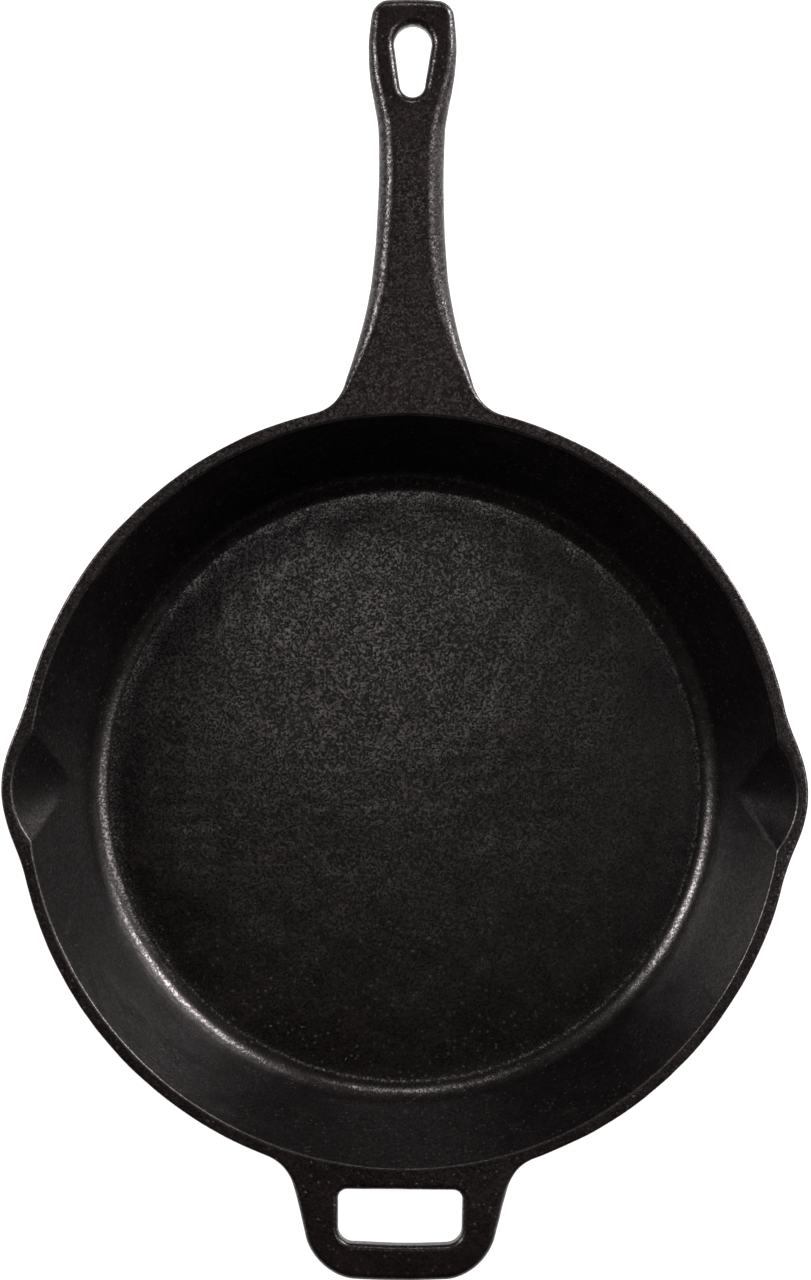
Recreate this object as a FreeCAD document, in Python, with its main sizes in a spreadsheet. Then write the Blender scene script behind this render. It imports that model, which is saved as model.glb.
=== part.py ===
import FreeCAD, Part
import os
import math
import Sketcher
from FreeCAD import Vector, Placement, Rotation

# Cast iron skillet, 12 inch (305 mm) across the rim.
# Frame: origin at the centre of the flat base, +Z up, +Y towards the long handle,
# +X to the right when the handle points away.  Millimetres.
# The real article is one grey-iron casting; it is kept here as three regions of that
# casting which meet face to face: the pan, the long handle and the helper handle.

doc = FreeCAD.newDocument("skillet")
sheet = doc.addObject("Spreadsheet::Sheet", "sizes")

ROWS = [
    # pan, outside
    ("rim_radius", 153.3, "where the outer wall line meets the rim plane; the rounded rim is 152.5, 12 inch nominal"),
    ("pan_height", 56.0, "top of the rim above the base"),
    ("foot_radius", 129.0, "where the outer wall line meets the base plane"),
    ("foot_fillet", 9.0, "outer radius between base and wall"),
    ("rim_round", 1.6, "outer rounding of the rim"),
    # pan, inside
    ("mouth_radius", 147.6, "inner radius of the rim"),
    ("floor_radius", 126.5, "where the inner wall line meets the floor"),
    ("floor_thick", 5.0, "thickness of the floor"),
    ("floor_fillet", 8.0, "inner radius between floor and wall"),
    # pouring spouts, one on each side of the pan
    ("spout_low", 26.0, "height at which a spout runs out into the wall"),
    ("spout_top_centre", 120.7, "centre of the spout circles at the rim"),
    ("spout_low_centre", 123.2, "centre of the spout circles at the low end"),
    ("spout_out_top", 38.0, "outer radius of a spout at the rim"),
    ("spout_out_low", 16.6, "outer radius of a spout at the low end"),
    ("spout_in_over", 34.61, "radius of the pouring groove 2 mm above the rim"),
    ("spout_in_low", 11.9, "radius of the pouring groove at the low end"),
    ("spout_over_centre", 120.53, "centre of the pouring groove 2 mm above the rim"),
    ("cut_over", 2.0, "how far cutting profiles run past the rim"),
    # hang hole of the long handle: two circles joined by tangents
    ("hang_far", 291.35, "centre of the wide end"),
    ("hang_far_r", 7.25, "radius of the wide end"),
    ("hang_near", 275.6, "centre of the narrow end"),
    ("hang_near_r", 4.85, "radius of the narrow end"),
    ("hang_lip", 2.6, "rounding of the hole's lips"),
    ("grip_end_round", 3.2, "rounding of the handle's end"),
    # helper handle
    ("helper_top", 56.0, "top of the helper handle"),
    ("helper_thick", 9.0, "thickness of the helper handle"),
    ("helper_end", -191.75, "outer end of the helper handle at its middle"),
    ("helper_corner_x", 33.4, "half width where the end and the side lines meet"),
    ("helper_corner_y", -191.1, "the same corner, along the handle"),
    ("helper_corner_r", 15.0, "radius of the outer corners"),
    ("helper_root_x", 44.2, "half width where the side meets the rim"),
    ("helper_root_y", -147.4, "the same corner, along the handle"),
    ("helper_root_r", 7.0, "radius of the inner corners at the rim"),
    ("helper_in_x", 58.0, "half width of the stock inside the pan outline"),
    ("helper_in_y", -136.0, "the same corner, along the handle"),
    ("helper_edge", 2.6, "rounding of the helper handle's long edges"),
    # grip opening of the helper handle
    ("grip_near_x", 24.3, "half width of the opening on the pan side"),
    ("grip_near_y", -156.05, "pan side of the opening"),
    ("grip_near_r", 3.6, "corner radius on the pan side"),
    ("grip_far_x", 24.5, "half width of the opening on the far side"),
    ("grip_far_y", -177.0, "far side of the opening at its corners"),
    ("grip_far_r", 5.5, "corner radius on the far side"),
    ("grip_bulge_y", -177.8, "far side of the opening at its middle"),
    ("grip_lip", 1.9, "rounding of the opening's lips"),
]

# Sections of the long handle, from inside the wall out to the end:
# distance from the pan's axis, half width, top, underside, upper and lower corner radius.
STATIONS = [
    (138.0, 41.0, 55.5, 37.5, 1.2, 14.0),
    (146.5, 39.4, 55.9, 39.5, 1.2, 12.5),
    (150.4, 32.4, 55.97, 41.2, 1.4, 10.5),
    (154.0, 28.0, 56.02, 42.6, 1.8, 8.5),
    (160.0, 25.2, 56.12, 43.9, 2.4, 6.5),
    (168.0, 22.7, 56.37, 44.7, 3.2, 5.5),
    (178.0, 19.65, 56.9, 45.5, 4.3, 4.8),
    (189.0, 17.0, 57.8, 46.6, 5.2, 4.0),
    (203.0, 14.8, 59.3, 48.3, 5.7, 3.9),
    (222.0, 13.4, 61.6, 50.8, 5.9, 3.8),
    (243.0, 12.75, 63.9, 53.4, 5.6, 3.8),
    (257.0, 13.0, 65.1, 54.9, 4.9, 3.8),
    (268.0, 14.7, 65.7, 55.7, 4.1, 3.7),
    (279.0, 16.45, 65.95, 56.2, 3.5, 3.6),
    (290.0, 17.2, 66.03, 56.4, 3.3, 3.5),
    (300.0, 16.6, 66.05, 56.45, 3.3, 3.5),
    (308.8, 14.9, 66.06, 56.5, 3.3, 3.5),
]
for i, (at, half, top, low, up_r, low_r) in enumerate(STATIONS):
    tag = "sec%02d_" % i
    ROWS += [
        (tag + "at", at, "long handle section %d: distance from the axis" % i),
        (tag + "half", half, "half width"),
        (tag + "top", top, "top"),
        (tag + "low", low, "underside"),
        (tag + "upr", up_r, "upper corner radius"),
        (tag + "lowr", low_r, "lower corner radius"),
    ]

V = {}
sheet.set("A1", "name")
sheet.set("B1", "value in mm")
sheet.set("C1", "what it is")
for i, (alias, value, what) in enumerate(ROWS):
    row = i + 2
    sheet.set("A%d" % row, alias)
    sheet.set("B%d" % row, "%s" % value)
    sheet.setAlias("B%d" % row, alias)
    sheet.set("C%d" % row, what)
    V[alias] = float(value)
doc.recompute()


def val(word):
    """The number behind a sheet word, or minus it for a word with a leading '-'."""
    if isinstance(word, (int, float)):
        return float(word)
    return -V[word[1:]] if word.startswith("-") else V[word]


def cell(word):
    return "-sizes." + word[1:] if word.startswith("-") else "sizes." + word


def origin_plane(body, role):
    for f in body.Origin.OriginFeatures:
        if getattr(f, "Role", "") == role:
            return f
    raise RuntimeError("no plane " + role)


def new_body(name, label):
    body = doc.addObject("PartDesign::Body", name)
    body.Label = label
    body.Placement = Placement(Vector(0, 0, 0), Rotation(0, 0, 0, 1))
    return body


def new_sketch(body, name, role, shift=None):
    sk = body.newObject("Sketcher::SketchObject", name)
    sk.AttachmentSupport = [(origin_plane(body, role), "")]
    sk.MapMode = "FlatFace"
    if shift is not None:
        sk.AttachmentOffset = Placement(Vector(0, 0, val(shift)), Rotation(0, 0, 0, 1))
        sk.setExpression("AttachmentOffset.Base.z", cell(shift))
    return sk


def fix_axis(sk, geo, pos, word, vertical):
    """Ties one coordinate of a point to a sheet word, or to the axis when it is zero."""
    if word == 0:
        sk.addConstraint(Sketcher.Constraint("PointOnObject", geo, pos, -1 if vertical else -2))
        return
    kind = "DistanceY" if vertical else "DistanceX"
    n = sk.addConstraint(Sketcher.Constraint(kind, -1, 1, geo, pos, val(word)))
    sk.setExpression("Constraints[%d]" % n, cell(word))


def profile(sk, corners):
    """Closed outline of straight sides with rounded corners.
    corners: (x word, y word, radius word or 0) in order; every number comes from the sheet."""
    n = len(corners)
    pts = [Vector(val(c[0]), val(c[1]), 0) for c in corners]
    ends = []
    for i, c in enumerate(corners):
        p, a, b = pts[i], pts[i - 1], pts[(i + 1) % n]
        ua, ub = (a - p), (b - p)
        ua.normalize()
        ub.normalize()
        if c[2] == 0:
            ends.append((p, p, None))
            continue
        r = val(c[2])
        half = math.acos(max(-1.0, min(1.0, ua.dot(ub)))) / 2.0
        d = r / math.tan(half)
        t1, t2 = p + ua * d, p + ub * d
        mid = ua + ub
        mid.normalize()
        centre = p + mid * (r / math.sin(half))
        ends.append((t1, t2, centre))
    lines, arcs = [], {}
    for i in range(n):
        lines.append(sk.addGeometry(Part.LineSegment(ends[i][1], ends[(i + 1) % n][0]), False))
    for i, (t1, t2, centre) in enumerate(ends):
        if centre is None:
            continue
        r = val(corners[i][2])
        apex = pts[i] - centre
        apex.normalize()
        arc = Part.Arc(t1, centre + apex * r, t2)
        g = sk.addGeometry(arc, False)
        near = sk.getPoint(g, 1)
        first = 1 if (near - t1).Length < (near - t2).Length else 2
        arcs[i] = (g, first, 3 - first)
    for i, c in enumerate(corners):
        before, after = lines[i - 1], lines[i]
        if c[2] == 0:
            sk.addConstraint(Sketcher.Constraint("Coincident", before, 2, after, 1))
            fix_axis(sk, after, 1, c[0], False)
            fix_axis(sk, after, 1, c[1], True)
            continue
        g, first, second = arcs[i]
        sk.addConstraint(Sketcher.Constraint("Tangent", before, 2, g, first))
        sk.addConstraint(Sketcher.Constraint("Tangent", after, 1, g, second))
        k = sk.addConstraint(Sketcher.Constraint("Radius", g, val(c[2])))
        sk.setExpression("Constraints[%d]" % k, cell(c[2]))
        q = sk.addGeometry(Part.Point(pts[i]), True)
        sk.addConstraint(Sketcher.Constraint("PointOnObject", q, 1, before))
        sk.addConstraint(Sketcher.Constraint("PointOnObject", q, 1, after))
        fix_axis(sk, q, 1, c[0], False)
        fix_axis(sk, q, 1, c[1], True)
    return sk


def circle(sk, x_word, r_word):
    """A circle centred on the sketch's horizontal axis."""
    g = sk.addGeometry(Part.Circle(Vector(val(x_word), 0, 0), Vector(0, 0, 1), val(r_word)), False)
    sk.addConstraint(Sketcher.Constraint("PointOnObject", g, 3, -1))
    n = sk.addConstraint(Sketcher.Constraint("DistanceX", -1, 1, g, 3, val(x_word)))
    sk.setExpression("Constraints[%d]" % n, cell(x_word))
    n = sk.addConstraint(Sketcher.Constraint("Radius", g, val(r_word)))
    sk.setExpression("Constraints[%d]" % n, cell(r_word))
    return sk


def outside_profile(sk):
    """Half outline of the pan's outside, closed along its axis."""
    return profile(sk, [
        (0, 0, 0),
        ("foot_radius", 0, "foot_fillet"),
        ("rim_radius", "pan_height", "rim_round"),
        (0, "pan_height", 0),
    ])


def volume(obj):
    doc.recompute()
    return obj.Shape.Volume


def edges_where(shape, test):
    names = []
    for i, e in enumerate(shape.Edges):
        if test(e):
            names.append("Edge%d" % (i + 1))
    return names


def fillet(body, name, base, test, word):
    """A rounding of the edges that pass the test."""
    picked = edges_where(base.Shape, test)
    if not picked:
        raise RuntimeError("no edge for " + name)
    f = body.newObject("PartDesign::Fillet", name)
    f.Base = (base, picked)
    f.Radius = val(word)
    f.setExpression("Radius", cell(word))
    doc.recompute()
    return f


# ---------------------------------------------------------------- pan body
pan = new_body("PanBody", "pan_body")
sk = outside_profile(new_sketch(pan, "PanOutside", "XZ_Plane"))
blank = pan.newObject("PartDesign::Revolution", "PanBlank")
blank.Profile = sk
blank.ReferenceAxis = (sk, ["V_Axis"])
blank.Angle = 360
doc.recompute()

# The two spouts: leaning cones that stand out of the wall near the rim.
for side, sign in (("Right", ""), ("Left", "-")):
    top = circle(new_sketch(pan, "Spout%sTop" % side, "XY_Plane", "pan_height"),
                 sign + "spout_top_centre", "spout_out_top")
    low = circle(new_sketch(pan, "Spout%sLow" % side, "XY_Plane", "spout_low"),
                 sign + "spout_low_centre", "spout_out_low")
    before = volume(pan)
    loft = pan.newObject("PartDesign::AdditiveLoft", "Spout%s" % side)
    loft.Profile = top
    loft.Sections = [low]
    loft.Ruled = True
    after = volume(pan)
    print("spout %s adds %.2f ml" % (side, (after - before) / 1000.0))

# The cavity: floor, inner fillet and inner wall turned out of the blank.
wall_run = (V["mouth_radius"] - V["floor_radius"]) / (V["pan_height"] - V["floor_thick"])
over = V["mouth_radius"] + wall_run * V["cut_over"]
sk = new_sketch(pan, "CavityProfile", "XZ_Plane")
sheet.set("A%d" % (len(ROWS) + 2), "cavity_over")
sheet.set("B%d" % (len(ROWS) + 2),
          "=mouth_radius + (mouth_radius - floor_radius) / (pan_height - floor_thick) * cut_over")
sheet.setAlias("B%d" % (len(ROWS) + 2), "cavity_over")
sheet.set("C%d" % (len(ROWS) + 2), "inner wall line carried past the rim")
sheet.set("A%d" % (len(ROWS) + 3), "above_rim")
sheet.set("B%d" % (len(ROWS) + 3), "=pan_height + cut_over")
sheet.setAlias("B%d" % (len(ROWS) + 3), "above_rim")
sheet.set("C%d" % (len(ROWS) + 3), "height at which cutting profiles end")
doc.recompute()
V["cavity_over"] = over
V["above_rim"] = V["pan_height"] + V["cut_over"]
profile(sk, [
    (0, "floor_thick", 0),
    ("floor_radius", "floor_thick", "floor_fillet"),
    ("cavity_over", "above_rim", 0),
    (0, "above_rim", 0),
])
before = volume(pan)
cavity = pan.newObject("PartDesign::Groove", "Cavity")
cavity.Profile = sk
cavity.ReferenceAxis = (sk, ["V_Axis"])
cavity.Angle = 360
after = volume(pan)
print("cavity removes %.0f ml" % ((before - after) / 1000.0))

# The pouring grooves inside the spouts.
for side, sign in (("Right", ""), ("Left", "-")):
    top = circle(new_sketch(pan, "Pour%sTop" % side, "XY_Plane", "above_rim"),
                 sign + "spout_over_centre", "spout_in_over")
    low = circle(new_sketch(pan, "Pour%sLow" % side, "XY_Plane", "spout_low"),
                 sign + "spout_low_centre", "spout_in_low")
    doc.recompute()
    before = volume(pan)
    pour = pan.newObject("PartDesign::SubtractiveLoft", "Pour%s" % side)
    pour.Profile = top
    pour.Sections = [low]
    pour.Ruled = True
    after = volume(pan)
    print("pouring groove %s removes %.1f ml" % (side, (before - after) / 1000.0))

# ------------------------------------------------------------- long handle
grip = new_body("LongHandle", "long_handle")
sections = []
for i in range(len(STATIONS)):
    tag = "sec%02d_" % i
    # the XZ plane faces -Y, so a section further out has a more negative shift
    sk = new_sketch(grip, "Section%02d" % i, "XZ_Plane", "-" + tag + "at")
    profile(sk, [
        ("-" + tag + "half", tag + "low", tag + "lowr"),
        (tag + "half", tag + "low", tag + "lowr"),
        (tag + "half", tag + "top", tag + "upr"),
        ("-" + tag + "half", tag + "top", tag + "upr"),
    ])
    sections.append(sk)
doc.recompute()
bar = grip.newObject("PartDesign::AdditiveLoft", "HandleBar")
bar.Profile = sections[-1]
bar.Sections = sections[-2::-1]
bar.Ruled = False
doc.recompute()

end_y = V["sec%02d_at" % (len(STATIONS) - 1)]
ended = fillet(grip, "HandleEnd", bar,
               lambda e: abs(e.BoundBox.YMin - end_y) < 0.01 and abs(e.BoundBox.YMax - end_y) < 0.01,
               "grip_end_round")

# The pan's outside is taken out of the handle's root, so that the two meet on the wall.
sk = outside_profile(new_sketch(grip, "WallFace", "XZ_Plane"))
before = volume(grip)
root = grip.newObject("PartDesign::Groove", "HandleRoot")
root.Profile = sk
root.ReferenceAxis = (sk, ["V_Axis"])
root.Angle = 360
after = volume(grip)
print("root cut removes %.1f ml" % ((before - after) / 1000.0))

# Hang hole: a wide and a narrow circle joined by their common tangents.
sk = new_sketch(grip, "HangHole", "XY_Plane", "sec%02d_top" % (len(STATIONS) - 1))
lean = math.asin((V["hang_far_r"] - V["hang_near_r"]) / (V["hang_far"] - V["hang_near"]))
far, near = Vector(0, V["hang_far"], 0), Vector(0, V["hang_near"], 0)


def on(c, r, angle):
    return c + Vector(r * math.cos(angle), r * math.sin(angle), 0)


rf, rn = V["hang_far_r"], V["hang_near_r"]
g_far = sk.addGeometry(Part.Arc(on(far, rf, -lean), on(far, rf, math.pi / 2), on(far, rf, math.pi + lean)), False)
g_left = sk.addGeometry(Part.LineSegment(on(far, rf, math.pi + lean), on(near, rn, math.pi + lean)), False)
g_near = sk.addGeometry(Part.Arc(on(near, rn, math.pi + lean), on(near, rn, -math.pi / 2), on(near, rn, -lean)), False)
g_right = sk.addGeometry(Part.LineSegment(on(near, rn, -lean), on(far, rf, -lean)), False)


def end_near(geo, p):
    return 1 if (sk.getPoint(geo, 1) - p).Length < (sk.getPoint(geo, 2) - p).Length else 2


for one, two, p in (
    (g_far, g_left, on(far, rf, math.pi + lean)),
    (g_left, g_near, on(near, rn, math.pi + lean)),
    (g_near, g_right, on(near, rn, -lean)),
    (g_right, g_far, on(far, rf, -lean)),
):
    sk.addConstraint(Sketcher.Constraint("Tangent", one, end_near(one, p), two, end_near(two, p)))
for geo, y_word, r_word in ((g_far, "hang_far", "hang_far_r"), (g_near, "hang_near", "hang_near_r")):
    sk.addConstraint(Sketcher.Constraint("PointOnObject", geo, 3, -2))
    n = sk.addConstraint(Sketcher.Constraint("DistanceY", -1, 1, geo, 3, V[y_word]))
    sk.setExpression("Constraints[%d]" % n, cell(y_word))
    n = sk.addConstraint(Sketcher.Constraint("Radius", geo, V[r_word]))
    sk.setExpression("Constraints[%d]" % n, cell(r_word))
doc.recompute()
before = volume(grip)
hole = grip.newObject("PartDesign::Pocket", "HangPocket")
hole.Profile = sk
hole.Type = "ThroughAll"
after = volume(grip)
print("hang hole removes %.2f ml" % ((before - after) / 1000.0))


def hole_lip(e):
    b = e.BoundBox
    inside = abs(b.XMin) < V["hang_far_r"] + 0.3 and abs(b.XMax) < V["hang_far_r"] + 0.3
    inside = inside and b.YMin > V["hang_near"] - V["hang_near_r"] - 0.5
    inside = inside and b.YMax < V["hang_far"] + V["hang_far_r"] + 0.5
    return inside and (b.ZMax - b.ZMin) < 2.0


lip = fillet(grip, "HangLip", hole, hole_lip, "hang_lip")

# ------------------------------------------------------------ helper handle
helper = new_body("HelperHandle", "helper_handle")
sk = new_sketch(helper, "HelperOutline", "XY_Plane", "helper_top")
profile(sk, [
    (0, "helper_end", 0),
    ("helper_corner_x", "helper_corner_y", "helper_corner_r"),
    ("helper_root_x", "helper_root_y", "helper_root_r"),
    ("helper_in_x", "helper_in_y", 0),
    ("-helper_in_x", "helper_in_y", 0),
    ("-helper_root_x", "helper_root_y", "helper_root_r"),
    ("-helper_corner_x", "helper_corner_y", "helper_corner_r"),
])
doc.recompute()
tab = helper.newObject("PartDesign::Pad", "HelperTab")
tab.Profile = sk
tab.Type = "Length"
tab.Length = V["helper_thick"]
tab.setExpression("Length", "sizes.helper_thick")
tab.Reversed = True
doc.recompute()
print("helper tab z %.2f..%.2f" % (tab.Shape.BoundBox.ZMin, tab.Shape.BoundBox.ZMax))


def tab_edge(e):
    b = e.BoundBox
    flat = (b.ZMax - b.ZMin) < 0.01
    back = abs(b.YMin - V["helper_in_y"]) < 0.01 and abs(b.YMax - V["helper_in_y"]) < 0.01
    return flat and not back


edged = fillet(helper, "HelperEdges", tab, tab_edge, "helper_edge")

sk = new_sketch(helper, "GripOpening", "XY_Plane", "helper_top")
profile(sk, [
    ("-grip_near_x", "grip_near_y", "grip_near_r"),
    ("-grip_far_x", "grip_far_y", "grip_far_r"),
    (0, "grip_bulge_y", 0),
    ("grip_far_x", "grip_far_y", "grip_far_r"),
    ("grip_near_x", "grip_near_y", "grip_near_r"),
])
doc.recompute()
before = volume(helper)
opening = helper.newObject("PartDesign::Pocket", "GripPocket")
opening.Profile = sk
opening.Type = "ThroughAll"
after = volume(helper)
print("grip opening removes %.2f ml" % ((before - after) / 1000.0))


def grip_lip(e):
    b = e.BoundBox
    inside = max(abs(b.XMin), abs(b.XMax)) < V["grip_far_x"] + 0.3
    inside = inside and b.YMin > V["grip_bulge_y"] - 0.3 and b.YMax < V["grip_near_y"] + 0.3
    return inside and (b.ZMax - b.ZMin) < 0.01


lipped = fillet(helper, "GripLip", opening, grip_lip, "grip_lip")

sk = outside_profile(new_sketch(helper, "HelperWallFace", "XZ_Plane"))
before = volume(helper)
root2 = helper.newObject("PartDesign::Groove", "HelperRoot")
root2.Profile = sk
root2.ReferenceAxis = (sk, ["V_Axis"])
root2.Angle = 360
after = volume(helper)
print("helper root cut removes %.1f ml" % ((before - after) / 1000.0))

# ---------------------------------------------------------------- checks and export
doc.recompute()
bad = []
for o in doc.Objects:
    if "Invalid" in o.State or "Error" in o.State:
        bad.append("%s %s" % (o.Name, o.State))
for sk in [o for o in doc.Objects if o.TypeId == "Sketcher::SketchObject"]:
    if sk.solve() != 0:
        bad.append("sketch %s does not solve" % sk.Name)
bodies = [pan, grip, helper]
for b in bodies:
    s = b.Shape
    if s.isNull() or not s.isValid() or len(s.Solids) != 1:
        bad.append("%s null, not valid or not one solid (%d)" % (b.Label, len(s.Solids)))
if bad:
    raise RuntimeError("; ".join(bad))

os.makedirs("parts", exist_ok=True)
total = 0.0
for b in bodies:
    bb = b.Shape.optimalBoundingBox(False, False)
    kg = b.Shape.Volume * 7.2e-6
    total += kg
    print("%-14s %8.1f ml %.3f kg  x %.1f..%.1f  y %.1f..%.1f  z %.1f..%.1f" % (
        b.Label, b.Shape.Volume / 1000.0, kg, bb.XMin, bb.XMax, bb.YMin, bb.YMax, bb.ZMin, bb.ZMax))
    b.Shape.exportStep("parts/%s.step" % b.Label)
print("mass in grey iron %.2f kg" % total)
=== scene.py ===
import bpy
import math
import numpy as np
from mathutils import Vector, Matrix


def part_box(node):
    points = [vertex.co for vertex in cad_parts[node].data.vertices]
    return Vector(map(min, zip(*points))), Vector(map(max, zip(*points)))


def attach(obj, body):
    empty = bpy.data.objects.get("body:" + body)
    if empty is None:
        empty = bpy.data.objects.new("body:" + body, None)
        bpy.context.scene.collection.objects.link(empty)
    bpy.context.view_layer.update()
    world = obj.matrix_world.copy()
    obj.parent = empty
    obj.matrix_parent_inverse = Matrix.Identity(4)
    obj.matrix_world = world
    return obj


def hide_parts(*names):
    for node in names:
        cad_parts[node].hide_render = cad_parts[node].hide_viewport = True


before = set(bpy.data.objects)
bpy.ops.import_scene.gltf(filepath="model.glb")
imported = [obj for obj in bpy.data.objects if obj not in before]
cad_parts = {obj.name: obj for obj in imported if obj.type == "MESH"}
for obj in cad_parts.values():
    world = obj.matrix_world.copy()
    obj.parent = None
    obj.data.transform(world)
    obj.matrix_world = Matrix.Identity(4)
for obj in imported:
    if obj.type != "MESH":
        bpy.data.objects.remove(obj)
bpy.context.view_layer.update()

pan_lo, pan_hi = [np.array(c, float) * 1000.0 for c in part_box("pan_body")]
grip_lo, grip_hi = [np.array(c, float) * 1000.0 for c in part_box("long_handle")]
help_lo, help_hi = [np.array(c, float) * 1000.0 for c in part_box("helper_handle")]

# ---------------------------------------------------------------- the casting as a distance field
# Lengths here are millimetres in the frame of the part; meshes are made in metres.
RIM_Z = float(pan_hi[2])                 # 56
RIM_R = float(pan_hi[1])                 # 152.5
RIM_ROUND = 1.5
WALL_OUT = 0.43393                       # run per rise of the outer wall
WALL_IN = 0.41373                        # of the inner wall
FLOOR_Z = 5.0
FLOOR_R = 126.5
FLOOR_FILLET = 6.2
FOOT_FILLET = 9.0
FOOT_R = RIM_R + 0.53 - WALL_OUT * RIM_Z
COS_OUT = 1.0 / math.hypot(1.0, WALL_OUT)
COS_IN = 1.0 / math.hypot(1.0, WALL_IN)
MOUTH_ROUND = 0.85
END_Y = float(grip_hi[1])                # 308.8
HELP_Y = -float(help_lo[1])              # 191.75
HELP_TOP, HELP_LOW = float(help_hi[2]), float(help_lo[2])

# long handle: distance from the axis, half width, top, underside, upper and lower edge radius
GRIP = np.array([
    (120.0, 35.2, 56.0, 39.5, 1.5, 4.5),
    (140.0, 30.6, 56.0, 41.0, 1.5, 4.5),
    (150.0, 28.0, 56.0, 42.2, 1.5, 4.5),
    (154.0, 26.9, 56.02, 42.8, 1.8, 4.5),
    (160.0, 25.1, 56.12, 43.9, 2.7, 4.5),
    (168.0, 22.7, 56.37, 44.7, 4.2, 4.5),
    (178.0, 19.75, 56.9, 45.5, 5.7, 4.4),
    (189.0, 17.03, 57.8, 46.6, 6.7, 4.2),
    (203.0, 14.72, 59.3, 48.3, 7.2, 4.1),
    (222.0, 13.36, 61.6, 50.8, 7.4, 3.8),
    (243.0, 12.72, 63.9, 53.4, 7.3, 3.6),
    (257.0, 12.95, 65.1, 54.9, 6.8, 3.6),
    (268.0, 14.62, 65.7, 55.7, 5.9, 3.6),
    (279.0, 16.5, 65.95, 56.2, 4.9, 3.6),
    (290.0, 17.2, 66.03, 56.4, 4.2, 3.6),
    (300.0, 16.4, 66.05, 56.45, 3.7, 3.5),
    (308.8, 14.9, 66.05, 56.5, 3.4, 3.5),
    (320.0, 13.0, 66.05, 56.5, 3.4, 3.5),
])
HELP = np.array([      # helper handle: distance from the axis, half width
    (130.0, 48.6), (140.0, 45.9), (150.0, 43.3), (154.9, 42.0), (161.3, 40.25), (170.8, 38.03),
    (177.0, 36.55), (185.0, 34.7), (191.0, 33.4), (200.0, 31.5),
])


def cubic_table(xs, ys, step=0.25):
    """A smooth curve through stations (monotone cubic), as a fine table."""
    x, y = np.asarray(xs, float), np.asarray(ys, float)
    dx, dy = np.diff(x), np.diff(y)
    m = dy / dx
    t = np.zeros(len(x))
    t[0], t[-1] = m[0], m[-1]
    for i in range(1, len(x) - 1):
        if m[i - 1] * m[i] > 0:
            w1, w2 = 2 * dx[i] + dx[i - 1], dx[i] + 2 * dx[i - 1]
            t[i] = (w1 + w2) / (w1 / m[i - 1] + w2 / m[i])
    g = np.arange(x[0], x[-1] + step, step)
    i = np.clip(np.searchsorted(x, g, side="right") - 1, 0, len(x) - 2)
    s = (g - x[i]) / dx[i]
    v = ((2 * s**3 - 3 * s**2 + 1) * y[i] + (s**3 - 2 * s**2 + s) * dx[i] * t[i]
         + (-2 * s**3 + 3 * s**2) * y[i + 1] + (s**3 - s**2) * dx[i] * t[i + 1])
    k = np.exp(-0.5 * (np.arange(-12, 13) * step / 1.1) ** 2)
    k /= k.sum()
    pad = np.concatenate([v[0] + (v[0] - v[12:0:-1]), v, v[-1] + (v[-1] - v[-2:-14:-1])])
    v = np.convolve(pad, k, "valid")
    return g, v, np.gradient(v, g)


GW, GT, GB = (cubic_table(GRIP[:, 0], GRIP[:, k]) for k in (1, 2, 3))
GU, GL = (cubic_table(GRIP[:, 0], GRIP[:, k]) for k in (4, 5))
HW = cubic_table(HELP[:, 0], HELP[:, 1])


def look(table, y):
    return np.interp(y, table[0], table[1])


def slope(table, y):
    return np.interp(y, table[0], table[2])


def rmax(a, b, r):
    """Both: the inside common to a and b, its edge rounded by r."""
    return np.minimum(np.maximum(a, b), -r) + np.hypot(np.maximum(a + r, 0.0), np.maximum(b + r, 0.0))


def smin(a, b, k):
    """Either: a and b together, the corner between them filled over k."""
    h = np.maximum(k - np.abs(a - b), 0.0) / k
    return np.minimum(a, b) - h * h * k * 0.25


def ramp(x, a, b):
    t = np.clip((x - a) / (b - a), 0.0, 1.0)
    return t * t * (3 - 2 * t)


def side_out(x, y, z):
    """The pan's outer side with its two spouts, not bounded above."""
    r = np.hypot(x, y)
    wall = (r - FOOT_R - WALL_OUT * z) * COS_OUT
    d = RIM_Z - z
    q = np.hypot(np.abs(x) - (120.7 + d * 0.08333), y) - (38.0 - d * 0.71333)
    return smin(wall, q * 0.86, 1.0 + 5.5 * ramp(z, 18.0, 48.0))


def cavity(x, y, z):
    """Negative inside the pan's hollow and its two pouring grooves."""
    r = np.hypot(x, y)
    wall = (r - FLOOR_R - WALL_IN * (z - FLOOR_Z)) * COS_IN
    rise = -0.0007 * np.maximum(np.minimum(r, 116.0) - 88.0, 0.0) ** 2   # the floor falls a little before its fillet
    c = rmax(wall, FLOOR_Z + np.minimum(rise, 0.8) - z, FLOOR_FILLET)
    d = RIM_Z - z
    g = np.hypot(np.abs(x) - (120.7 + d * 0.08333), y) - (33.2 - d * 0.70667)
    return smin(c, g * 0.85, 0.8)


def top_z(y):
    return np.where(y > 150.0, look(GT, y), RIM_Z)


def top_round(y):
    r = RIM_ROUND + (2.7 - RIM_ROUND) * ramp(-y, 149.0, 158.0)
    return np.where(y > 150.0, look(GU, y), r)


def grip_side(x, y):
    w = (np.abs(x) - look(GW, y)) / np.hypot(1.0, slope(GW, y))
    end = y - (END_Y - 0.4 * (x / 10.0) ** 2)
    return rmax(w, end, 5.0)


def grip_body(x, y, z):
    low = (look(GB, y) - z) / np.hypot(1.0, slope(GB, y))
    return np.maximum(rmax(grip_side(x, y), low, look(GL, y)), 125.0 - y)


def help_body(x, y, z):
    w = (np.abs(x) - look(HW, -y)) / np.hypot(1.0, slope(HW, -y))
    end = -y - (HELP_Y - 0.165 * (x / 10.0) ** 2)
    return np.maximum(rmax(rmax(w, end, 15.0), HELP_LOW - z, 2.9), y + 135.0)


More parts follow.
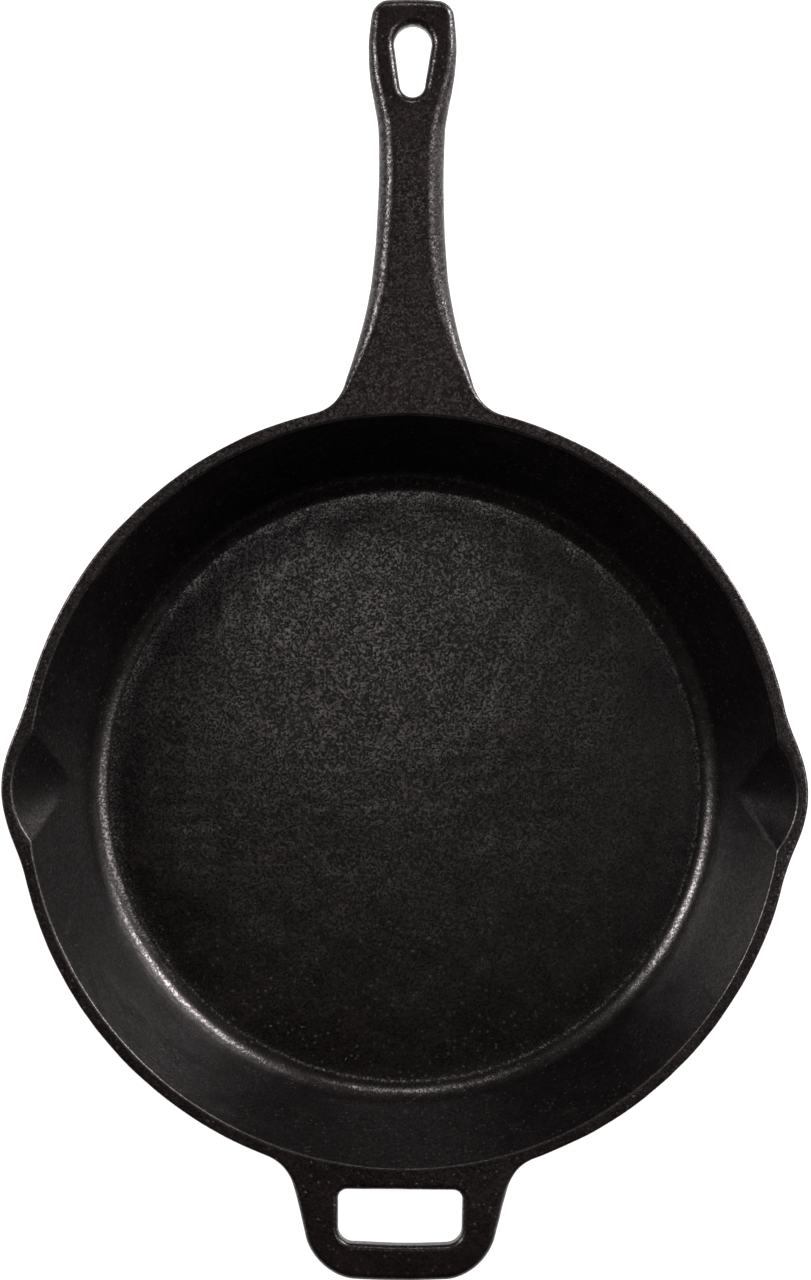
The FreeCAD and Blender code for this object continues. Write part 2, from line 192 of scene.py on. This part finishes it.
def hang_hole(x, y):
    r1, r2, y1, y2 = 7.25, 4.85, 291.35, 275.6
    span = y1 - y2
    b = (r1 - r2) / span
    a = math.sqrt(1 - b * b)
    px, py = np.abs(x), y1 - y
    k = -b * px + a * py
    d = px * a + py * b - r1
    d = np.where(k < 0, np.hypot(px, py) - r1, d)
    return np.where(k > a * span, np.hypot(px, py - span) - r2, d)


def help_hole(x, y):
    ox = np.abs(x) - (24.35 + 0.012 * (y + 166.0))
    near = y + 156.05
    far = -(y + 177.85 - 0.0016 * x * x)
    return rmax(rmax(ox, near, 3.8), far, 5.6)


def casting(p, handles=True):
    """Signed distance to the skillet's surface; with handles=False, to the pan alone."""
    x, y, z = p[:, 0], p[:, 1], p[:, 2]
    out = rmax(side_out(x, y, z), -z, FOOT_FILLET)
    if handles:
        out = smin(out, grip_body(x, y, z), 9.0)
        out = smin(out, help_body(x, y, z), 8.0)
        t = (z - top_z(y)) / np.hypot(1.0, np.where(y > 150.0, slope(GT, y), 0.0))
        out = rmax(out, t, top_round(y))
    else:
        out = rmax(out, z - RIM_Z, RIM_ROUND)
    out = rmax(out, -cavity(x, y, z), MOUTH_ROUND)
    if handles:
        out = np.where(y > 200.0, rmax(out, -hang_hole(x, y), 3.4), out)
        out = np.where(y < -100.0, rmax(out, -help_hole(x, y), 2.2), out)
    return out


# Slow waviness of a sand casting: a few octaves of random waves.
rng = np.random.default_rng(41)
WAVES = []
for length, amp, count in ((46.0, 0.045, 14), (19.0, 0.028, 18), (9.0, 0.018, 22)):
    d = rng.normal(size=(count, 3))
    d /= np.linalg.norm(d, axis=1)[:, None]
    k = d * (2 * math.pi / (length * rng.uniform(0.75, 1.35, count)))[:, None]
    WAVES.append((k, rng.uniform(0, 2 * math.pi, count), amp * math.sqrt(2.0 / count)))


def waviness(p):
    s = np.zeros(len(p))
    for k, phase, amp in WAVES:
        s += amp * np.sin(p @ k.T + phase).sum(1)
    return s * ramp(p[:, 2], 0.0, 4.0)


def field(p, handles, wavy):
    d = casting(p, handles)
    return d - waviness(p) if wavy else d


def gradient(p, handles, wavy, e=0.01):
    g = np.zeros_like(p)
    for k in range(3):
        s = np.zeros(3)
        s[k] = e
        g[:, k] = (field(p + s, handles, wavy) - field(p - s, handles, wavy)) / (2 * e)
    return g


def settle(p, handles, wavy, steps=3):
    """Moves points onto the surface along the field's gradient."""
    for _ in range(steps):
        d, g = field(p, handles, wavy), gradient(p, handles, wavy)
        p = p - np.clip(d / np.maximum((g * g).sum(1), 0.05), -1.5, 1.5)[:, None] * g
    return p


def radius_where(fn, theta, z, lo, hi):
    """Distance from the axis at which fn turns positive, for each angle and height."""
    lo, hi = np.full(theta.shape, float(lo)), np.full(theta.shape, float(hi))
    c, s = np.cos(theta), np.sin(theta)
    for _ in range(40):
        mid = 0.5 * (lo + hi)
        pos = fn(mid * c, mid * s, z) > 0
        hi, lo = np.where(pos, mid, hi), np.where(pos, lo, mid)
    return 0.5 * (lo + hi)


# ---------------------------------------------------------------- pan: rings around the axis
GRIP_HALF, HELP_HALF = 15.2, 20.9          # half angles that the handles' roots take up
zones = [(-13.0, 13.0, 70), (13.0, 90 - GRIP_HALF, 81), (90 - GRIP_HALF, 90 + GRIP_HALF, 40),
         (90 + GRIP_HALF, 167.0, 81), (167.0, 193.0, 70), (193.0, 270 - HELP_HALF, 73),
         (270 - HELP_HALF, 270 + HELP_HALF, 56), (270 + HELP_HALF, 347.0, 73)]
theta = np.concatenate([np.linspace(a, b, n, endpoint=False) for a, b, n in zones])
theta = np.radians(theta)
FULL = len(theta)                            # 544

rings = []                                   # each: (array of points, segments)


def flat_ring(r, z, n):
    th = theta[::FULL // n]
    rings.append(np.stack([r * np.cos(th), r * np.sin(th), np.full(n, z)], 1))


def ring(r, z):
    z = np.full(FULL, z) if np.isscalar(z) else z
    rings.append(np.stack([r * np.cos(theta), r * np.sin(theta), z], 1))


for r, n in ((3, 34), (6.5, 34), (10, 34), (14, 68), (18.5, 68), (23, 68), (28, 136), (34, 136), (40, 136),
             (46, 136), (52, 272), (58, 272), (64, 272), (70, 272), (76, 272), (82, 272), (88, 272), (94, 272),
             (99, 544), (104, 544), (109, 544), (114, 544)):
    flat_ring(float(r), 0.0, n)
for i in range(10):                          # foot, from the base round to the wall
    f = math.radians(90 - 9 * i)
    z = FOOT_FILLET - FOOT_FILLET * math.sin(f)
    a = -FOOT_FILLET + FOOT_FILLET * math.cos(f)
    ring(np.full(FULL, FOOT_R + WALL_OUT * z + a / COS_OUT), z)
WALL_STEPS = 28
outer_z = np.linspace(FOOT_FILLET, RIM_Z - RIM_ROUND, WALL_STEPS + 1)
wall_first = len(rings)
for z in outer_z:
    ring(radius_where(side_out, theta, np.full(FULL, z), 120.0, 175.0), z)
lip_first = len(rings)
out_rim = radius_where(side_out, theta, np.full(FULL, RIM_Z), 140.0, 175.0)
for i in range(1, 6):                        # outer rounding of the rim
    f = math.radians(18 * i)
    z = RIM_Z - RIM_ROUND + RIM_ROUND * math.sin(f)
    a = -RIM_ROUND + RIM_ROUND * math.cos(f)
    ring(radius_where(side_out, theta, np.full(FULL, z), 140.0, 175.0) + a / COS_OUT, z)
flat_first = len(rings) - 1
in_rim = radius_where(cavity, theta, np.full(FULL, RIM_Z), 120.0, 160.0)
start, stop = out_rim - RIM_ROUND / COS_OUT, in_rim + MOUTH_ROUND / COS_IN
for i in (1, 2, 3):
    ring(start + (stop - start) * i / 3.0, RIM_Z)
for i in range(1, 5):                        # rounding of the mouth
    f = math.radians(22.5 * i)
    z = RIM_Z - MOUTH_ROUND + MOUTH_ROUND * math.cos(f)
    a = MOUTH_ROUND - MOUTH_ROUND * math.sin(f)
    ring(radius_where(cavity, theta, np.full(FULL, z), 110.0, 160.0) + a / COS_IN, z)
inner_z = np.linspace(RIM_Z - MOUTH_ROUND, FLOOR_Z + FLOOR_FILLET, WALL_STEPS + 1)[1:]
for z in inner_z:
    ring(radius_where(cavity, theta, np.full(FULL, z), 100.0, 160.0), z)
for i in range(1, 11):                       # fillet between wall and floor
    f = math.radians(9 * i)
    z = FLOOR_Z + FLOOR_FILLET - FLOOR_FILLET * math.sin(f)
    a = -FLOOR_FILLET + FLOOR_FILLET * math.cos(f)
    ring(np.full(FULL, FLOOR_R + WALL_IN * (z - FLOOR_Z) + a / COS_IN), z)
for r, n in ((118, 544), (114, 544), (110, 544), (106, 544), (102, 544), (98, 544), (94, 272), (88, 272), (82, 272), (76, 272), (70, 272),
             (64, 272), (58, 272), (52, 272), (46, 136), (40, 136), (34, 136), (28, 136), (23, 68), (18.5, 68),
             (14, 68), (10, 34), (6.5, 34), (3, 34)):
    flat_ring(float(r), FLOOR_Z, n)

first = np.cumsum([0] + [len(r) for r in rings])
pan_pts = np.concatenate(rings + [np.array([[0.0, 0.0, 0.0], [0.0, 0.0, FLOOR_Z]])])
pan_faces = []
for k in range(len(rings) - 1):
    a, b = len(rings[k]), len(rings[k + 1])
    fa, fb = first[k], first[k + 1]
    if a == b:
        for i in range(a):
            j = (i + 1) % a
            pan_faces.append((fa + i, fa + j, fb + j, fb + i))
    elif b == 2 * a:                         # outwards: one segment meets two
        for i in range(a):
            j = (i + 1) % a
            o0, o1, o2 = fb + 2 * i, fb + 2 * i + 1, fb + (2 * i + 2) % b
            pan_faces += [(fa + i, o1, o0), (fa + i, fa + j, o1), (fa + j, o2, o1)]
    else:                                    # inwards: two segments meet one
        for i in range(b):
            j = (i + 1) % b
            o0, o1, o2 = fa + 2 * i, fa + 2 * i + 1, fa + (2 * i + 2) % a
            pan_faces += [(fb + i, o0, o1), (fb + i, o1, fb + j), (fb + j, o1, o2)]
low_c, top_c = len(pan_pts) - 2, len(pan_pts) - 1
n0, nl = len(rings[0]), len(rings[-1])
pan_faces += [(low_c, (i + 1) % n0, i) for i in range(n0)]
pan_faces += [(top_c, first[-2] + i, first[-2] + (i + 1) % nl) for i in range(nl)]
pan_pts = settle(pan_pts, False, False, 3)
pan_pts = settle(pan_pts, False, True, 2)
pan_norm = gradient(pan_pts, False, True)
near = casting(pan_pts) > -0.4              # under the handles' blends the normals are the blend's
pan_norm[near] = gradient(pan_pts[near], True, True)


# ---------------------------------------------------------------- handles: nets drawn over the field
def net(fn, lo, hi, h):
    """A closed net of four-sided faces over the surface where fn is zero."""
    lo = np.array(lo, float)
    n = np.ceil((np.array(hi, float) - lo) / h).astype(int) + 1
    grid = np.stack(np.meshgrid(*[np.arange(k) for k in n], indexing="ij"), -1).reshape(-1, 3)
    f = fn(lo + grid * h).reshape(n)
    inside = f < 0
    acc, cnt = np.zeros(tuple(n - 1) + (3,)), np.zeros(tuple(n - 1))
    edges = []
    for ax in range(3):
        a = [slice(None)] * 3
        b = [slice(None)] * 3
        a[ax], b[ax] = slice(0, -1), slice(1, None)
        ia, fa, fb = inside[tuple(a)], f[tuple(a)], f[tuple(b)]
        at = np.argwhere(ia != inside[tuple(b)])
        k = tuple(at.T)
        pos = at.astype(float)
        pos[:, ax] += fa[k] / (fa[k] - fb[k])
        u, v = (ax + 1) % 3, (ax + 2) % 3
        quad = []
        for du, dv in ((-1, -1), (0, -1), (0, 0), (-1, 0)):
            c = at.copy()
            c[:, u] += du
            c[:, v] += dv
            np.add.at(acc, tuple(c.T), pos)
            np.add.at(cnt, tuple(c.T), 1.0)
            quad.append(c)
        edges.append((quad, ia[k]))
    index = np.full(cnt.shape, -1)
    used = cnt > 0
    index[used] = np.arange(int(used.sum()))
    pts = lo + acc[used] / cnt[used][:, None] * h
    faces = []
    for quad, out in edges:
        q = np.stack([index[tuple(c.T)] for c in quad], 1)
        q[~out] = q[~out][:, ::-1]
        faces.append(q)
    return pts, np.concatenate(faces)


def cut_piece(p, body, k):
    """How deep a point lies under the cuts that part a handle from the rest of the casting."""
    x, y, z = p[:, 0], p[:, 1], p[:, 2]
    return np.maximum(body(x, y, z) - (k + 0.3), -(side_out(x, y, z) + 2.3))


def dip(p, body, k):
    """Lets a handle's surface sink just under the pan's where the two run together."""
    x, y, z = p[:, 0], p[:, 1], p[:, 2]
    return 0.06 * np.maximum(ramp(body(x, y, z), k - 1.3, k), ramp(-side_out(x, y, z), 1.55, 2.1))


def make_handle(body, k, lo, hi, h):
    def skin(p):
        return casting(p) + dip(p, body, k)

    pts, faces = net(lambda p: rmax(skin(p), cut_piece(p, body, k), 0.7), lo, hi, h)
    e = np.concatenate([faces[:, [0, 1]], faces[:, [1, 2]], faces[:, [2, 3]], faces[:, [3, 0]]])
    e = np.unique(np.sort(e, 1), axis=0)
    deg = np.bincount(e.ravel(), minlength=len(pts)).astype(float)
    for it in range(14):
        c = cut_piece(pts, body, k)
        show = c < -0.9                        # the rest is hidden in the pan's wall
        g = gradient(pts, True, False)
        g /= np.maximum(np.linalg.norm(g, axis=1), 1e-6)[:, None]
        avg = np.stack([(np.bincount(e[:, 0], pts[e[:, 1], i], len(pts))
                         + np.bincount(e[:, 1], pts[e[:, 0], i], len(pts))) / deg for i in range(3)], 1)
        move = avg - pts
        move -= (move * g).sum(1)[:, None] * g
        pts = pts + np.where(show, 0.5, 0.0)[:, None] * move
        pts = pts - np.where(c < -0.35, np.clip(skin(pts), -0.6, 0.6), 0.0)[:, None] * g
    top = cut_piece(pts, body, k) < -0.3
    for _ in range(3):
        g = gradient(pts, True, True)
        d = skin(pts) - waviness(pts)
        step = np.clip(d / np.maximum((g * g).sum(1), 0.05), -0.6, 0.6)
        pts = pts - np.where(top, step, 0.0)[:, None] * g
    norm = gradient(pts, True, True)
    cut = np.stack([(cut_piece(pts + s, body, k) - cut_piece(pts - s, body, k)) for s in np.eye(3) * 0.01], 1)
    norm[~top] = cut[~top]
    return pts, faces.tolist(), norm


made = {
    "grip": make_handle(grip_body, 9.0,
                        (-56.0, 134.0, 26.0), (56.0, END_Y + 2.2, 68.0), 0.8),
    "helper": make_handle(help_body, 8.0,
                          (-68.0, -(HELP_Y + 2.2), 32.0), (68.0, -130.0, 58.0), 0.75),
}


def new_piece(name, pts, faces, norm):
    """A closed smooth mesh in metres with the field's own normals."""
    me = bpy.data.meshes.new(name)
    me.from_pydata((pts * 0.001).tolist(), [], [tuple(int(i) for i in f) for f in faces])
    me.update()
    me.polygons.foreach_set("use_smooth", [True] * len(me.polygons))
    n = norm / np.maximum(np.linalg.norm(norm, axis=1), 1e-9)[:, None]
    loops = np.zeros(len(me.loops), int)
    me.loops.foreach_get("vertex_index", loops)
    me.normals_split_custom_set(n[loops].tolist())
    me.update()
    ob = bpy.data.objects.new(name, me)
    bpy.context.scene.collection.objects.link(ob)
    return ob


pan_ob = new_piece("skillet_pan", pan_pts, pan_faces, pan_norm)
grip_ob = new_piece("skillet_long_handle", *made["grip"])
help_ob = new_piece("skillet_helper_handle", *made["helper"])

for ob, node in ((pan_ob, "pan_body"), (grip_ob, "long_handle"), (help_ob, "helper_handle")):
    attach(ob, "root")
    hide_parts(node)
# ---------------------------------------------------------------- seasoned cast iron
def marks(pts):
    """Where on the casting each point lies: floor, inner wall, and how much an edge stands out there."""
    x, y, z = pts[:, 0], pts[:, 1], pts[:, 2]
    inner = (1.0 - ramp(np.abs(cavity(x, y, z)), 0.7, 1.5)) * ramp(z, 2.0, 3.5)
    up = ramp(z, 5.4, 10.0)
    g = gradient(pts, True, False)
    g /= np.maximum(np.linalg.norm(g, axis=1), 1e-6)[:, None]
    a = np.cross(g, np.where(np.abs(g[:, 2:]) < 0.8, [[0.0, 0.0, 1.0]], [[1.0, 0.0, 0.0]]))
    a /= np.linalg.norm(a, axis=1)[:, None]
    b = np.cross(g, a)
    bend = sum(casting(pts + d) for d in (a, -a, b, -b)) / 4.0
    return inner * (1 - up), inner * up, ramp(bend, 0.09, 0.22)


for ob, pts in ((pan_ob, pan_pts), (grip_ob, made["grip"][0]), (help_ob, made["helper"][0])):
    for name, values in zip(("floor", "wall", "edge"), marks(pts)):
        at = ob.data.attributes.new(name, "FLOAT", "POINT")
        at.data.foreach_set("value", values.astype(np.float32))


class Nodes:
    """Small helper to write a node tree as formulas."""

    def __init__(self, mat):
        mat.use_nodes = True
        self.t = mat.node_tree
        self.bsdf = self.t.nodes["Principled BSDF"]

    def new(self, kind, **props):
        n = self.t.nodes.new(kind)
        for k, v in props.items():
            setattr(n, k, v)
        return n

    def put(self, socket, v):
        if isinstance(v, bpy.types.NodeSocket):
            self.t.links.new(v, socket)
        else:
            socket.default_value = v

    def math(self, op, a, b=0.0, c=0.0):
        n = self.new("ShaderNodeMath", operation=op)
        for i, v in enumerate((a, b, c)):
            self.put(n.inputs[i], v)
        return n.outputs[0]

    def ramp(self, v, a, b, lo=0.0, hi=1.0):
        n = self.new("ShaderNodeMapRange", interpolation_type="SMOOTHSTEP")
        for k, q in (("Value", v), ("From Min", a), ("From Max", b), ("To Min", lo), ("To Max", hi)):
            self.put(n.inputs[k], q)
        return n.outputs["Result"]

    def noise(self, at, size, detail=2.0, rough=0.5, distort=0.0, offset=None):
        n = self.new("ShaderNodeTexNoise", noise_dimensions="3D")
        if offset is not None:
            v = self.new("ShaderNodeVectorMath", operation="ADD")
            self.put(v.inputs[0], at)
            v.inputs[1].default_value = offset
            at = v.outputs[0]
        self.put(n.inputs["Vector"], at)
        n.inputs["Scale"].default_value = 1.0 / size
        n.inputs["Detail"].default_value = detail
        n.inputs["Roughness"].default_value = rough
        n.inputs["Distortion"].default_value = distort
        return n.outputs["Fac"]

    def cells(self, at, size, feature="SMOOTH_F1", smooth=0.6):
        n = self.new("ShaderNodeTexVoronoi", feature=feature)
        self.put(n.inputs["Vector"], at)
        n.inputs["Scale"].default_value = 1.0 / size
        if feature == "SMOOTH_F1":
            n.inputs["Smoothness"].default_value = smooth
        return n

    def mix(self, f, a, b):
        n = self.new("ShaderNodeMix", data_type="RGBA")
        n.clamp_factor = True
        self.put(n.inputs["Factor"], f)
        self.put(n.inputs["A"], a)
        self.put(n.inputs["B"], b)
        return n.outputs["Result"]

    def blend(self, f, a, b):
        n = self.new("ShaderNodeMix", data_type="FLOAT")
        self.put(n.inputs["Factor"], f)
        self.put(n.inputs["A"], a)
        self.put(n.inputs["B"], b)
        return n.outputs["Result"]

    def attr(self, name):
        return self.new("ShaderNodeAttribute", attribute_name=name).outputs["Fac"]


def seasoned_iron():
    mat = bpy.data.materials.new("seasoned_iron")
    g = Nodes(mat)
    where = g.new("ShaderNodeTexCoord").outputs["Object"]
    mm = g.new("ShaderNodeVectorMath", operation="SCALE")
    g.put(mm.inputs[0], where)
    mm.inputs["Scale"].default_value = 1000.0
    mm = mm.outputs[0]
    floor, wall, edge = g.attr("floor"), g.attr("wall"), g.attr("edge")

    # patches and grain
    broad = g.noise(mm, 55.0, 2.0, 0.5)
    cloud = g.noise(mm, 13.0, 4.0, 0.6, 0.4, (31.0, 7.0, 3.0))
    grain = g.noise(mm, 1.9, 2.0, 0.6, 0.0, (5.0, 17.0, 9.0))
    fine = g.noise(mm, 0.7, 2.0, 0.6, 0.0, (2.0, 1.0, 8.0))
    seed = g.cells(mm, 1.3, "F1")
    pick = g.new("ShaderNodeSeparateColor")
    g.put(pick.inputs[0], seed.outputs["Color"])
    dome = g.ramp(seed.outputs["Distance"], 0.62, 0.10)
    grit = g.math("MULTIPLY", g.ramp(g.noise(mm, 0.95, 2.5, 0.6, 0.0, (9.0, 4.0, 27.0)), 0.33, 0.68),
                  g.ramp(pick.outputs[0], 0.0, 1.0, 0.4, 1.0))
    # sparse raised domes: their bump is relief, their bright colour further down is a painted glint
    dome_and_glint = g.math("MULTIPLY", dome, g.ramp(pick.outputs[1], 0.90, 0.95))

    # how grainy: full on the floor and the outside, 0.6 on the inner wall, falling to half towards the helper
    # handle's end; the floor's relief is then halved
    part = g.new("ShaderNodeSeparateXYZ")
    g.put(part.inputs[0], mm)
    coarse = g.ramp(part.outputs["Y"], -200.0, -150.0, 0.5, 1.0)
    coarse = g.blend(floor, coarse, 1.0)
    coarse = g.blend(wall, coarse, 0.6)
    deep = g.math("MULTIPLY", coarse, g.ramp(floor, 0.0, 1.0, 1.0, 0.5))

    # colour: brown oxide and oil on the outside, more neutral where food is cooked
    outer = g.mix(g.ramp(cloud, 0.35, 0.68), OUTER_A, OUTER_B)
    base = g.mix(g.ramp(cloud, 0.35, 0.68), FLOOR_A, FLOOR_B)
    side = g.mix(g.ramp(cloud, 0.35, 0.68), WALL_A, WALL_B)
    col = g.mix(wall, g.mix(floor, outer, base), side)
    # painted shade: the hollows of the grain, where it is low, are darkened in the colour
    col = g.mix(g.math("MULTIPLY", g.ramp(grain, 0.50, 0.34), 0.7), col, PIT_SHADE)
    # lighter flecks on the raised grit: partly the grain's own tone, partly painted sparkle standing in for glints
    # off the grain tops
    col = g.mix(g.math("MULTIPLY", grit, coarse), col, FLECK_AND_SPARKLE)
    # painted glints: the sparse raised domes get a bright grey colour
    col = g.mix(g.math("MULTIPLY", g.math("MULTIPLY", dome_and_glint, coarse), 0.7), col, SPOT_GLINT)
    worn = g.math("MULTIPLY", edge, g.ramp(g.math("ADD", cloud, g.math("MULTIPLY", grain, 0.35)), 0.52, 0.78))
    col = g.mix(g.math("MULTIPLY", worn, 0.6), col, WORN)
    g.put(g.bsdf.inputs["Base Color"], col)

    # roughness
    r = g.blend(floor, R_OUTER, R_FLOOR)
    r = g.blend(wall, r, R_WALL)
    r = g.math("ADD", r, g.ramp(cloud, 0.3, 0.7, -0.02, 0.02))
    r = g.math("ADD", r, g.ramp(broad, 0.3, 0.7, -0.02, 0.02))
    r = g.math("ADD", r, g.math("MULTIPLY", coarse, g.ramp(grit, 0.0, 0.8, 0.07, -0.05)))
    r = g.math("SUBTRACT", r, g.math("MULTIPLY", worn, 0.04))
    g.put(g.bsdf.inputs["Roughness"], r)
    # the hollows between the grains shine less than their tops
    shine = g.math("ADD", g.math("MULTIPLY", coarse, g.ramp(grit, 0.0, 0.7, -0.24, 0.34)), g.blend(floor, 0.42, 0.5))
    g.put(g.bsdf.inputs["Specular IOR Level"], shine)
    g.bsdf.inputs["IOR"].default_value = 1.5
    g.bsdf.inputs["Specular Tint"].default_value = (1.0, 0.90, 0.90, 1)
    g.bsdf.inputs["Metallic"].default_value = 0.0

    # relief of the sand mould, in millimetres: rounded grains over a finer tooth
    h = g.math("MULTIPLY", g.math("SUBTRACT", grain, 0.5), g.math("MULTIPLY", deep, H_GRAIN))
    h = g.math("ADD", h, g.math("MULTIPLY", g.math("SUBTRACT", fine, 0.5), g.math("ADD", g.math("MULTIPLY", deep, H_FINE), 0.012)))
    h = g.math("ADD", h, g.math("MULTIPLY", grit, g.math("MULTIPLY", deep, H_GRIT)))
    h = g.math("ADD", h, g.math("MULTIPLY", dome_and_glint, g.math("MULTIPLY", deep, H_SPOT)))
    bump = g.new("ShaderNodeBump")
    bump.inputs["Strength"].default_value = 1.0
    bump.inputs["Distance"].default_value = 0.001
    g.put(bump.inputs["Height"], h)
    g.put(g.bsdf.inputs["Normal"], bump.outputs[0])
    return mat


OUTER_A, OUTER_B = (0.0024, 0.0010, 0.0005, 1), (0.0048, 0.0024, 0.0014, 1)
FLOOR_A, FLOOR_B = (0.0009, 0.0005, 0.0006, 1), (0.0021, 0.0013, 0.0015, 1)
WALL_A, WALL_B = (0.0008, 0.0005, 0.0008, 1), (0.0016, 0.0011, 0.0016, 1)
# grain tone and painted sparkle for the raised grit
FLECK_AND_SPARKLE = (0.0090, 0.0062, 0.0060, 1)
# painted glint colour for the sparse domes
SPOT_GLINT = (0.050, 0.042, 0.041, 1)
# painted shade for the hollows of the grain
PIT_SHADE = (0.0006, 0.0004, 0.0004, 1)
WORN = (0.016, 0.012, 0.010, 1)
R_OUTER, R_FLOOR, R_WALL = 0.30, 0.24, 0.33
H_GRAIN, H_FINE, H_GRIT, H_SPOT = 0.11, 0.015, 0.022, 0.05
iron = seasoned_iron()
for ob in (pan_ob, grip_ob, help_ob):
    ob.data.materials.append(iron)

# ---------------------------------------------------------------- floor, light, camera
FLOOR_GLOW = 0.87
LIGHTS = (     # name, azimuth, elevation, distance, width, height, radiance
    ("right_box", 38.0, 19.0, 1.30, 0.70, 0.36, 22.0),
    ("side_box", 2.0, 50.0, 1.40, 0.40, 0.70, 5.5),
    ("left_box", 163.0, 37.0, 1.40, 0.50, 0.42, 15.5),
    ("back_box", 92.0, 40.0, 1.50, 0.50, 0.30, 5.5),
    ("top_box", 116.0, 87.2, 1.75, 0.24, 0.24, 2.5),
)


def flat_material(name, colour, rough, glow):
    m = bpy.data.materials.new(name)
    g = Nodes(m)
    soft = g.noise(g.new("ShaderNodeTexCoord").outputs["Object"], 0.5, 2.0)
    g.put(g.bsdf.inputs["Base Color"], g.mix(soft, colour, tuple(c * 0.99 for c in colour[:3]) + (1.0,)))
    g.bsdf.inputs["Roughness"].default_value = rough
    g.bsdf.inputs["Emission Color"].default_value = (1, 1, 1, 1)
    g.bsdf.inputs["Emission Strength"].default_value = glow
    return m


fm = bpy.data.meshes.new("floor")
fm.from_pydata([(-3, -3, 0), (3, -3, 0), (3, 3, 0), (-3, 3, 0)], [], [(0, 1, 2, 3)])
floor_ob = bpy.data.objects.new("studio_floor", fm)
bpy.context.scene.collection.objects.link(floor_ob)
floor_ob.location.z = -0.0002
fm.materials.append(flat_material("floor_paper", (0.36, 0.36, 0.36, 1), 0.7, FLOOR_GLOW))


def softbox(name, azimuth, elevation, distance, width, height, radiance):
    """A soft area light looking at the pan; azimuth runs anticlockwise from +x."""
    a, e = math.radians(azimuth), math.radians(elevation)
    aim = Vector((0.0, 0.03, 0.03))
    d = Vector((math.cos(e) * math.cos(a), math.cos(e) * math.sin(a), math.sin(e)))
    li = bpy.data.lights.new(name, "AREA")
    li.shape = "RECTANGLE"
    li.size, li.size_y = width, height
    li.energy = radiance * 4.0 * width * height
    ob = bpy.data.objects.new(name, li)
    bpy.context.scene.collection.objects.link(ob)
    ob.location = aim + d * distance
    ob.rotation_euler = (-d).to_track_quat("-Z", "Y").to_euler()
    return ob


for spec in LIGHTS:
    softbox(*spec)
world = bpy.data.worlds.new("studio")
bpy.context.scene.world = world
world.use_nodes = True
sky = world.node_tree                        # pale round the horizon, dark overhead
at = sky.nodes.new("ShaderNodeTexCoord")
part = sky.nodes.new("ShaderNodeSeparateXYZ")
fade = sky.nodes.new("ShaderNodeMapRange")
fade.interpolation_type = "SMOOTHSTEP"
for k, v in (("From Min", 0.02), ("From Max", 0.30), ("To Min", 0.75), ("To Max", 0.015)):
    fade.inputs[k].default_value = v
sky.links.new(at.outputs["Generated"], part.inputs[0])
sky.links.new(part.outputs["Z"], fade.inputs["Value"])
sky.nodes["Background"].inputs[0].default_value = (1, 1, 1, 1)
sky.links.new(fade.outputs["Result"], sky.nodes["Background"].inputs[1])
bpy.context.scene.view_settings.view_transform = "Standard"
bpy.context.scene.view_settings.look = "None"

cam = bpy.data.cameras.new("camera")
cam_ob = bpy.data.objects.new("camera", cam)
bpy.context.scene.collection.objects.link(cam_ob)
bpy.context.scene.camera = cam_ob
cam.sensor_width = 36.0
cam.lens = 3050.0 / 1280.0 * 36.0
cam.clip_start, cam.clip_end = 0.05, 20.0
cam_ob.location = (-0.00031, 0.05942, 1.250)
cam_ob.rotation_euler = (0.0, 0.0, math.radians(0.62))
